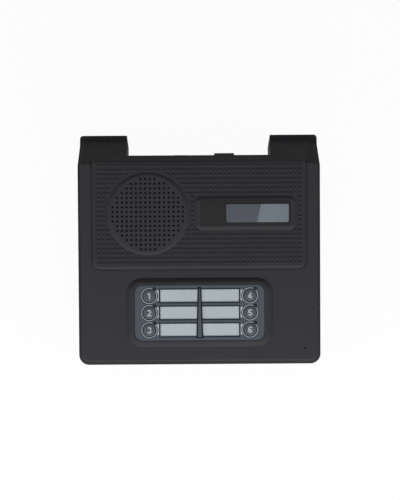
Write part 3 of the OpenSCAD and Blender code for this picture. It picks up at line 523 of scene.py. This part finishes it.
def cover_kept(x, s):
    """Whether the cover has plastic at a place: not in its notch, seats or holes."""
    if border(x, s) < 0 or inside(x, s, overlay_seat) > 0 or inside(x, s, label_seat) > 0:
        return False
    return nearest_hole(x, s) > hole_r - tolerance and hypot(x - mic_x, s - mic_s) > mic_r - tolerance


cover_loops = [cover_outline(inset) for inset in (0, 0.08, 0.22, 0.45, 0.8, 1.1, 1.5)]
groove_insets = (-1.5, -1.1, -0.8, -0.6, -0.4, -0.2, 0)
cover_loops += [form_loop(panel, d) for d in groove_insets + (0.2, 0.5, 0.9, 1.4, 1.9, 2.4, 2.8)]
cover_loops += [form_loop(plate, d) for d in (-0.3, 0, 0.3, 0.6, 1.0, 1.4, 1.8, 2.2)]
bezel_insets = groove_insets + (0.25, 0.6, 1.0, 1.5, 2.0, 2.6, 3.3, 4.0, 4.3)
cover_loops += [form_loop(bezel, d) for d in bezel_insets]
cover_loops += [form_loop(seat, d) for seat in (overlay_seat, label_seat) for d in (-0.6, -0.3, 0)]
for d in (-0.4, 0, 0.2, 0.5, 0.85, 1.25, 1.7, 2.15, 2.6, 2.85):
    cover_loops.append(ring(speaker_x, speaker_s, grille_r - d, grille_sides))
steps = [k + 0.5 for k in range(-8, 8)]
for i, j in [(i, j) for i in steps for j in steps if hypot(i, j) <= hole_reach]:
    for r in (hole_r, hole_r + hole_lip, hole_r + 2 * hole_lip):
        middle = (speaker_x + i * hole_pitch, speaker_s + j * hole_pitch)
        cover_loops.append(ring(*middle, r, hole_sides))
for r in (mic_r, mic_r + hole_lip, mic_r + 2 * hole_lip, 3.0):
    cover_loops.append(ring(mic_x, mic_s, r, hole_sides))
bend_steps = [bend_from + bend_r * bend * k / 8 for k in range(9)]
for d in (0.4, 0.8):
    bend_steps += [bend_from - d, bend_to + d]
bend_lines = [[(-cover_half, s), (cover_half, s)] for s in sorted(bend_steps)]

# The panel's field between the dots gets a darker colour: painted shade among the dots.
field_painted_shade = moulded_plastic("field_painted_shade", "#313033", gloss=0.03)
cover_mesh = bmesh.new()
cut_sheet(cover_mesh, cover_loops, bend_lines, cover_kept, cover_top, cover_under)
# Faces of that field take the darker colour, the painted shade.
for face in cover_mesh.faces:
    x, y, z = face.calc_center_median() * 1000
    s = (y - front_y) * cos(face_tilt) + (z - front_h) * sin(face_tilt)
    level = (z - front_h) * cos(face_tilt) - (y - front_y) * sin(face_tilt) - cover_t
    clear = hypot(x - speaker_x, s - speaker_s) > grille_r and inside(x, s, plate) < 0
    if clear and level > panel["h"] - 2 * tolerance and inside(x, s, panel) > panel["edge"]:
        face.material_index = 1
top_cover = finished_piece("cover", cover_mesh, case_plastic, "console")
top_cover.data.materials.append(field_painted_shade)
top_cover.modifiers.new("shading", "WEIGHTED_NORMAL").keep_sharp = True
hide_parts("top_cover")


# Grille dots: rows of low oblong pips moulded over the whole panel, on nearly the same spacing as
# the grille's holes, left out round the grille and the name plate.
dot_first = 36.6
dot_pitch = 3.44
dot_wide = 1.05
dot_long = 0.75
dot_clear = 1.3
dot_margin = 3.2
dot_rings = [(1.0, -0.15), (0.95, 0.28), (0.78, 0.56), (0.45, 0.72)]
dot_crown = 0.78
dot_sides = 12
dot_left = -10.5
dot_columns = 44
dot_rows = 22
dot_mesh = bmesh.new()
for column in range(dot_columns):
    for row in range(dot_rows):
        x = speaker_x + (dot_left + column) * hole_pitch
        s = speaker_s - dot_first + row * dot_pitch
        by_grille = hypot(x - speaker_x, s - speaker_s) < grille_r + dot_clear
        if by_grille or inside(x, s, plate) > -dot_clear or inside(x, s, panel) < dot_margin:
            continue
        level = cover_height(x, s)
        rings = []
        for r, h in dot_rings:
            spots = [(x + i * dot_wide, s + j * dot_long) for i, j in ring(0, 0, r, dot_sides)]
            rings.append([dot_mesh.verts.new(on_face(*spot, level + h)) for spot in spots])
        crown = dot_mesh.verts.new(on_face(x, s, level + dot_crown))
        dot_mesh.faces.new(reversed(rings[0]))
        for k in range(dot_sides):
            for low, high in zip(rings, rings[1:]):
                dot_mesh.faces.new([low[k - 1], low[k], high[k], high[k - 1]])
            dot_mesh.faces.new([rings[-1][k - 1], rings[-1][k], crown])
finished_piece("grille_dots", dot_mesh, case_plastic, "console", crease=60)


# Grille cloth: a disc of thin black cloth stretched under the grille, glued at its rim between the
# loudspeaker's gasket and the cover. It sags a little in the middle.
cloth_low, cloth_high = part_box("grille_cloth")
cloth_r = (cloth_high.x - cloth_low.x) * 500
cloth_t = 0.3
cloth_sag = 0.2
face_up = Vector((0, -sin(face_tilt), cos(face_tilt)))
cloth_level = ((cloth_low + cloth_high) / 2 - on_cover(speaker_x, speaker_s, 0)).dot(face_up) * 1000


def on_cloth(x, s, side):
    """Point on one side of the cloth."""
    slack = 1 - min(hypot(x - speaker_x, s - speaker_s) / cloth_r, 1) ** 2
    return on_cover(x, s, cloth_level - cloth_sag * slack + side * cloth_t / 2)


cloth_mesh = bmesh.new()
cloth_loops = [ring(speaker_x, speaker_s, cloth_r * k / 10, 72) for k in range(1, 11)]
cut_sheet(
    cloth_mesh, cloth_loops, [], lambda x, s: True,
    lambda x, s: on_cloth(x, s, 1), lambda x, s: on_cloth(x, s, -1),
)
speaker_cloth = finished_piece("speaker_cloth", cloth_mesh, black_cloth, "console")
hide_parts("grille_cloth")


# Name plate: a semi-gloss black label in the frame, with a two-tone grey badge stuck on it.
# The badge is bare, its two greys meeting on a slant.
def printed_film(name, code, roughness, gloss=0.12):
    """Printed plastic film: even ink, a faint orange-peel skin and light smears."""
    material, start, shader = new_finish(name)
    place = start.node("TexCoord", output="Object")
    peel = start.node("TexNoise", {}, {"Vector": place, "Scale": 900.0, "Detail": 2.0})
    rubbed = {"Vector": place, "Scale": 90.0, "Detail": 4.0, "Distortion": 1.0}
    smear = start.node("TexNoise", {}, rubbed)
    shader.inputs["Specular IOR Level"].default_value = gloss
    start.feed(shader.inputs["Base Color"], smear.tint(ink(code, 0.93), ink(code, 1.07)))
    start.feed(shader.inputs["Roughness"], roughness + smear * 0.12)
    start.feed(shader.inputs["Normal"], peel.relief(0.12))
    return material, start, shader


label_film, *_ = printed_film("label_film", "#252324", 0.38)
dress(label_film, "name_label")
soften(0.15, "name_label")

badge_film, start, shader = printed_film("badge_film", "#52555d", 0.35)
badge_low, badge_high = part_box("badge_plate")
badge_mid = (badge_low + badge_high) / 2
badge_slant = 0.24
badge_meet = badge_mid.x + 0.0012
place = start.node("TexCoord", output="Object")
across = start.node("SeparateXYZ", {}, {"Vector": place}, "X") - badge_meet
along = start.node("SeparateXYZ", {}, {"Vector": place}, "Y") - badge_mid.y
light_half = (across - along * badge_slant).between(-0.0001, 0.0001)
sheen = start.node("TexNoise", {}, {"Vector": place, "Scale": 70.0, "Detail": 3.0})
dark_grey = sheen.tint(ink("#4b4e56"), ink("#54585f"))
light_grey = sheen.tint(ink("#676e76"), ink("#717981"))
start.feed(shader.inputs["Base Color"], light_half.tint(dark_grey, light_grey))
dress(badge_film, "badge_plate")
soften(0.25, "badge_plate")


# Call panel: a blue-grey textured overlay in the bezel, over a web of the cover, with a window over
# each name card and a tapered divider. Pale rings, pale patches beside the rings and dark outlines
# are printed on it; the dark lines either side of each ring are painted shade round the button.
key_web = 2.0
overlay_w = 4.9
overlay_t = 0.9
button_x = 37.4
row_pitch = 12.7
button_hole_r = 4.65
lamp_x = 3.95
lamp_s = 5.15
lamp_hole_r = 1.0
play = 0.02
key_spots = [(side * button_x, row * row_pitch) for side in (-1, 1) for row in (1, 0, -1)]


def on_panel(x, y, w):
    """Point on the call panel, from its middle, with w above the cover's underside."""
    return on_cover(x, keys_s + y, w - cover_t)


def web_kept(x, y):
    """Whether the web behind the overlay is solid at a place: not at a button or a lamp."""
    for kx, ky in key_spots:
        from_lamp = hypot(x - kx - lamp_x, y - ky - lamp_s)
        if hypot(x - kx, y - ky) < button_hole_r - play or from_lamp < lamp_hole_r - play:
            return False
    return abs(x) < overlay_seat["w"] / 2 and abs(y) < overlay_seat["l"] / 2


web_form = dict(overlay_seat, s=0.0)
web_loops = [form_loop(web_form, 0)]
for kx, ky in key_spots:
    web_loops.append(ring(kx, ky, button_hole_r, 28))
    web_loops.append(ring(kx + lamp_x, ky + lamp_s, lamp_hole_r, 12))
web_mesh = bmesh.new()
web_top = overlay_w - overlay_t - play
cut_sheet(
    web_mesh, web_loops, [], lambda x, y: web_kept(x, y) and inside(x, y, web_form) > 0,
    lambda x, y: on_panel(x, y, web_top), lambda x, y: on_panel(x, y, web_top - key_web),
)
finished_piece("cover_web", web_mesh, case_plastic, "console")

overlay_film = moulded_plastic("overlay_film", "#3c444b", roughness=0.5, etch=0.3, mottle=0.06)
dress(overlay_film, "key_overlay")

print_t = 0.05


def print_band(mesh, inner, outer, closed, level=overlay_w, t=print_t):
    """Thin printed band between two runs of points on the overlay."""
    rows = []
    for run in (inner, outer):
        for w in (level + t, level - t):
            rows.append([mesh.verts.new(on_panel(*p, w)) for p in run])
    loop = [rows[0], rows[2], rows[3], rows[1]]
    count = len(inner)
    for k in range(0 if closed else 1, count):
        for a, b in zip(loop, loop[1:] + loop[:1]):
            mesh.faces.new([a[k - 1], a[k], b[k], b[k - 1]])
    if not closed:
        mesh.faces.new([line[0] for line in loop])
        mesh.faces.new([line[-1] for line in reversed(loop)])


ring_in = 5.4
ring_out = 5.92
# Dark lines either side of each ring: painted shade round the button's gap.
ring_shade_lines = [(4.95, 5.3), (6.05, 6.35)]
lamp_gap = (0.46, 0.76)
patch_r = 6.65
patch_edge = 30.35
patch_half = 3.95
patch_lift = 0.3
ring_steps = 48
light_mesh = bmesh.new()
patch_mesh = bmesh.new()
for kx, ky in key_spots:
    sides = [arc(kx, ky, r, lamp_gap[1], lamp_gap[0] + 4, ring_steps) for r in (ring_in, ring_out)]
    print_band(light_mesh, *sides, False)
    side = 1 if kx > 0 else -1
    heights = [patch_half * (k / 8 - 1) for k in range(17)]
    lifts = [patch_lift + y for y in heights]
    curved = [(kx - side * sqrt(patch_r ** 2 - y ** 2), ky + y) for y in lifts]
    straight = [(side * patch_edge, ky + y) for y in lifts]
    print_band(patch_mesh, curved, straight, False)
light_ink, *_ = printed_film("light_ink", "#94989d", 0.5)
finished_piece("panel_rings", light_mesh, light_ink, "console", crease=30)
pale_ink, *_ = printed_film("pale_ink", "#a6abae", 0.5)
finished_piece("panel_patches", patch_mesh, pale_ink, "console", crease=30)

window_half = 4.675
window_out = 29.3
window_gap = 0.35
line_w = 0.85
divider_half = 19.0
divider_top = 0.95
divider_bottom = 2.1
divider_h = 0.2
divider_line = 0.55
divider_end = 0.8
lamp_rim = (1.02, 1.45)


def divider_edge(y):
    """Half the divider's width at a height on the panel."""
    return (divider_top + divider_bottom) / 2 + y * (divider_top - divider_bottom) / 2 / divider_half


def window_outline(side, row, grow):
    """Corners of a name window, grown outward."""
    low = row * row_pitch - window_half - grow
    high = row * row_pitch + window_half + grow
    outer = side * (window_out + grow)
    return [
        (outer, low), (outer, high),
        (side * (divider_edge(high) + window_gap - grow), high),
        (side * (divider_edge(low) + window_gap - grow), low),
    ]


dark_mesh = bmesh.new()
for side in (-1, 1):
    for row in (1, 0, -1):
        print_band(dark_mesh, window_outline(side, row, play), window_outline(side, row, line_w), True)
    inner = [(side * (divider_edge(y) - divider_line), y) for y in (-divider_half, divider_half)]
    outer = [(side * (divider_edge(y) + window_gap), y) for y in (-divider_half, divider_half)]
    print_band(dark_mesh, inner, outer, False, overlay_w + divider_h)
    end = [side * (divider_edge(side * divider_half) + window_gap), side * divider_half]
    low = [(-end[0], end[1]), (end[0], end[1])]
    high = [(-end[0], end[1] - side * divider_end), (end[0], end[1] - side * divider_end)]
    print_band(dark_mesh, low, high, False, overlay_w + divider_h)
for kx, ky in key_spots:
    rims = [ring(kx + lamp_x, ky + lamp_s, r, 20) for r in lamp_rim]
    print_band(dark_mesh, *rims, True)
    # Painted shade: dark lines either side of each ring.
    for pair in ring_shade_lines:
        sides = [arc(kx, ky, r, lamp_gap[1], lamp_gap[0] + 4, ring_steps) for r in pair]
        print_band(dark_mesh, *sides, False)
# One dark colour serves both the printed outlines and the painted shade round the rings.
dark_ink_and_shade, *_ = printed_film("dark_ink_and_shade", "#171c20", 0.5)
finished_piece("panel_lines", dark_mesh, dark_ink_and_shade, "console", crease=30)


# Name cards and their windows: plain pale cards of smooth paper behind clear plastic strips, which
# are let into the overlay and a little hazy from handling.
dress(pressed_paper("card_paper", "#b8c3c6", 900.0, 0.03), "name_cards")
clear_strip, start, shader = new_finish("clear_strip")
place = start.node("TexCoord", output="Object")
haze = start.node("TexNoise", {}, {"Vector": place, "Scale": 110.0, "Detail": 5.0})
start.feed(shader.inputs["Base Color"], haze.tint(ink("#a9b3b6"), ink("#b9c2c4")))
start.feed(shader.inputs["Roughness"], 0.22 + haze * 0.2)
shader.inputs["Alpha"].default_value = 0.25
dress(clear_strip, "window_lenses")


# Call buttons: round satin caps, slightly crowned, each on the plunger of a push switch. A plain
# number is printed on each cap.
button_plastic = moulded_plastic("button_plastic", "#414950", roughness=0.4, etch=0.15, mottle=0.05)
number_ink, *_ = printed_film("number_ink", "#a3aaae", 0.45)
cap_rise = 0.5
digit_level = overlay_w + cap_rise - 0.03
digit_h = 4.75
digit_stroke = 0.18
digit_wide = 1.14
digit_t = 0.09


def bow(x, y, across, up, start, stop):
    """Points along a bow of a number, from one angle to another in degrees."""
    angles = [radians(start + (stop - start) * k / 14) for k in range(15)]
    return [(x + across * cos(a), y + up * sin(a)) for a in angles]


def stroke_sides(points, width):
    """Both sides of a stroke along some points, mitred where it turns."""
    runs = [Vector(b) - Vector(a) for a, b in zip(points, points[1:])]
    ways = [run.normalized() for run in runs]
    sides = ([], [])
    for k, point in enumerate(points):
        before, after = ways[max(k - 1, 0)], ways[min(k, len(ways) - 1)]
        way = (before + after).normalized()
        reach = width / 2 / max(way.dot(before), 0.4)
        for side, sign in zip(sides, (1, -1)):
            side.append((point[0] - sign * reach * way.y, point[1] + sign * reach * way.x))
    return sides


number_strokes = [
    [[(-0.2, 0.72), (0.04, 0.93)], [(0.05, 0), (0.05, 1)]],
    [bow(0, 0.7, 0.21, 0.21, 170, -38) + [(-0.19, 0.13)], [(-0.28, 0.095), (0.29, 0.095)]],
    [bow(0, 0.715, 0.19, 0.19, 165, -90), bow(0, 0.305, 0.21, 0.21, 90, -165)],
    [[(0.09, 0.93), (-0.23, 0.31)], [(-0.3, 0.27), (0.32, 0.27)], [(0.1, 0), (0.1, 1)]],
    [[(0.26, 0.905), (-0.14, 0.905), (-0.2, 0.47)], bow(0, 0.315, 0.22, 0.22, 140, -160)],
    [bow(0, 0.305, 0.21, 0.21, 0, 360), bow(0.05, 0.5, 0.26, 0.405, 182, 35)],
]
for index, ((kx, ky), strokes) in enumerate(zip(key_spots, number_strokes), 1):
    dress(button_plastic, "call_button_%d" % index)
    soften(0.3, "call_button_%d" % index)
    number_mesh = bmesh.new()
    for stroke in strokes:
        spots = [(kx + x * digit_h * digit_wide, ky + (y - 0.5) * digit_h) for x, y in stroke]
        sides = stroke_sides(spots, digit_stroke * digit_h)
        print_band(number_mesh, *sides, False, digit_level, digit_t)
    finished_piece("number_%d" % index, number_mesh, number_ink, "button_%d" % index)


# Call lamps: lenses moulded in dark smoked plastic and pressed into the overlay, flush with it, each
# over a red lamp on the key board.
lens_plastic, start, shader = new_finish("smoked_lens")
place = start.node("TexCoord", output="Object")
swirl = start.node("TexNoise", {}, {"Vector": place, "Scale": 500.0, "Detail": 2.0})
start.feed(shader.inputs["Base Color"], swirl.tint(ink("#0b0c0f"), ink("#14161b")))
start.feed(shader.inputs["Roughness"], 0.16 + swirl * 0.12)
shader.inputs["Specular IOR Level"].default_value = 0.3
dress(lens_plastic, "led_lenses")
soften(0.15, "led_lenses")
dress(moulded_plastic("lamp_body", "#7a2024", roughness=0.2, etch=0.02), "call_leds")


# Cables inside: a grey flat cable between the boards, and pairs of red leads to the loudspeaker
# and the microphone.
dress(moulded_plastic("cable_sheath", "#8d8e90", roughness=0.45, etch=0.1), "ribbon_cable")
dress(moulded_plastic("lead_sheath", "#7a2b2b", roughness=0.4, etch=0.1), "speaker_leads", "mic_leads")


# Table: a plain pale surface under the console. The light is soft and white from all round, with one
# large lamp in front and one at either side.
table_half = 3.0
table_mesh = bmesh.new()
corners = [(-1, -1), (1, -1), (1, 1), (-1, 1)]
table_mesh.faces.new([table_mesh.verts.new((i * table_half, j * table_half, 0)) for i, j in corners])
table_data = bpy.data.meshes.new("table")
table_mesh.to_mesh(table_data)
table_mesh.free()
table = bpy.data.objects.new("table", table_data)
bpy.context.collection.objects.link(table)
table_paint, start, shader = new_finish("table_paint")
place = start.node("TexCoord", output="Object")
cloud = start.node("TexNoise", {}, {"Vector": place, "Scale": 9.0, "Detail": 3.0})
start.feed(shader.inputs["Base Color"], cloud.tint((0.93, 0.93, 0.93, 1), (0.96, 0.96, 0.96, 1)))
shader.inputs["Roughness"].default_value = 0.9
shader.inputs["Specular IOR Level"].default_value = 0.1
table_data.materials.append(table_paint)


def seen_rays(start):
    """1 for rays from the camera, from gloss and through clear plastic."""
    kinds = ("Is Camera Ray", "Is Glossy Ray", "Is Transmission Ray")
    camera, gloss, through = [start.node("LightPath", output=name) for name in kinds]
    return start.maths("MINIMUM", camera + gloss + through, 1)


table_glow = 0.95
paint = Shade(start.tree, shader.outputs[0])
glow = start.node("Emission", {}, {"Color": (1, 1, 1, 1)})
blend = start.node("MixShader", {}, {0: seen_rays(start) * table_glow, 1: paint, 2: glow})
start.feed(start.tree.nodes["Material Output"].inputs["Surface"], blend)

room = bpy.data.worlds.new("room")
room.use_nodes = True
bpy.context.scene.world = room
start = Shade(room.node_tree)
around = 0.3
backdrop = room.node_tree.nodes["Background"]
start.feed(backdrop.inputs["Strength"], around + seen_rays(start) * (1 - around))
backdrop.inputs["Color"].default_value = (1, 1, 1, 1)


lamp_aim = Vector((0, 0, 0.03))


def soft_lamp(name, at, size, power):
    """Large square lamp, turned to the console."""
    data = bpy.data.lights.new(name, "AREA")
    data.size = size
    data.energy = power
    lamp = bpy.data.objects.new(name, data)
    lamp.visible_camera = False
    lamp.location = at
    lamp.rotation_euler = (lamp_aim - Vector(at)).to_track_quat("-Z", "Y").to_euler()
    bpy.context.collection.objects.link(lamp)


soft_lamp("front_lamp", (0.12, -0.65, 0.34), 0.4, 3.2)
soft_lamp("left_lamp", (-0.5, -0.45, 0.27), 0.35, 2.3)
soft_lamp("right_lamp", (0.5, -0.45, 0.27), 0.35, 1.5)


# Camera: nearly square to the sloping face, from above and in front, with a long lens. Its place, roll
# and swing are fitted to where the photograph shows the console's edges.
image_w = 400
image_h = 500
aim_down = 65
aim = on_cover(0, face_len - aim_down, 0)
distance = 1.1395
elevation = radians(77.185)
focal_px = 1535
roll = radians(0.37)
swing = radians(-0.3)
aim_px = (199.3, 251.14)
eye_data = bpy.data.cameras.new("eye")
eye_data.sensor_fit = "HORIZONTAL"
eye_data.sensor_width = 36
eye_data.lens = focal_px / image_w * eye_data.sensor_width
eye_data.shift_x = (image_w / 2 - aim_px[0]) / image_w
eye_data.shift_y = (aim_px[1] - image_h / 2) / image_w
eye_data.clip_end = 20
eye = bpy.data.objects.new("eye", eye_data)
toward = Vector((0, -cos(elevation), sin(elevation)))
way = toward.to_track_quat("Z", "Y").to_matrix()
way = way @ Matrix.Rotation(-roll, 3, "Z") @ Matrix.Rotation(swing, 3, "Y")
eye.location = aim + distance * way.col[2]
eye.rotation_euler = way.to_euler()
bpy.context.collection.objects.link(eye)
bpy.context.scene.camera = eye
bpy.context.scene.view_settings.view_transform = "Standard"
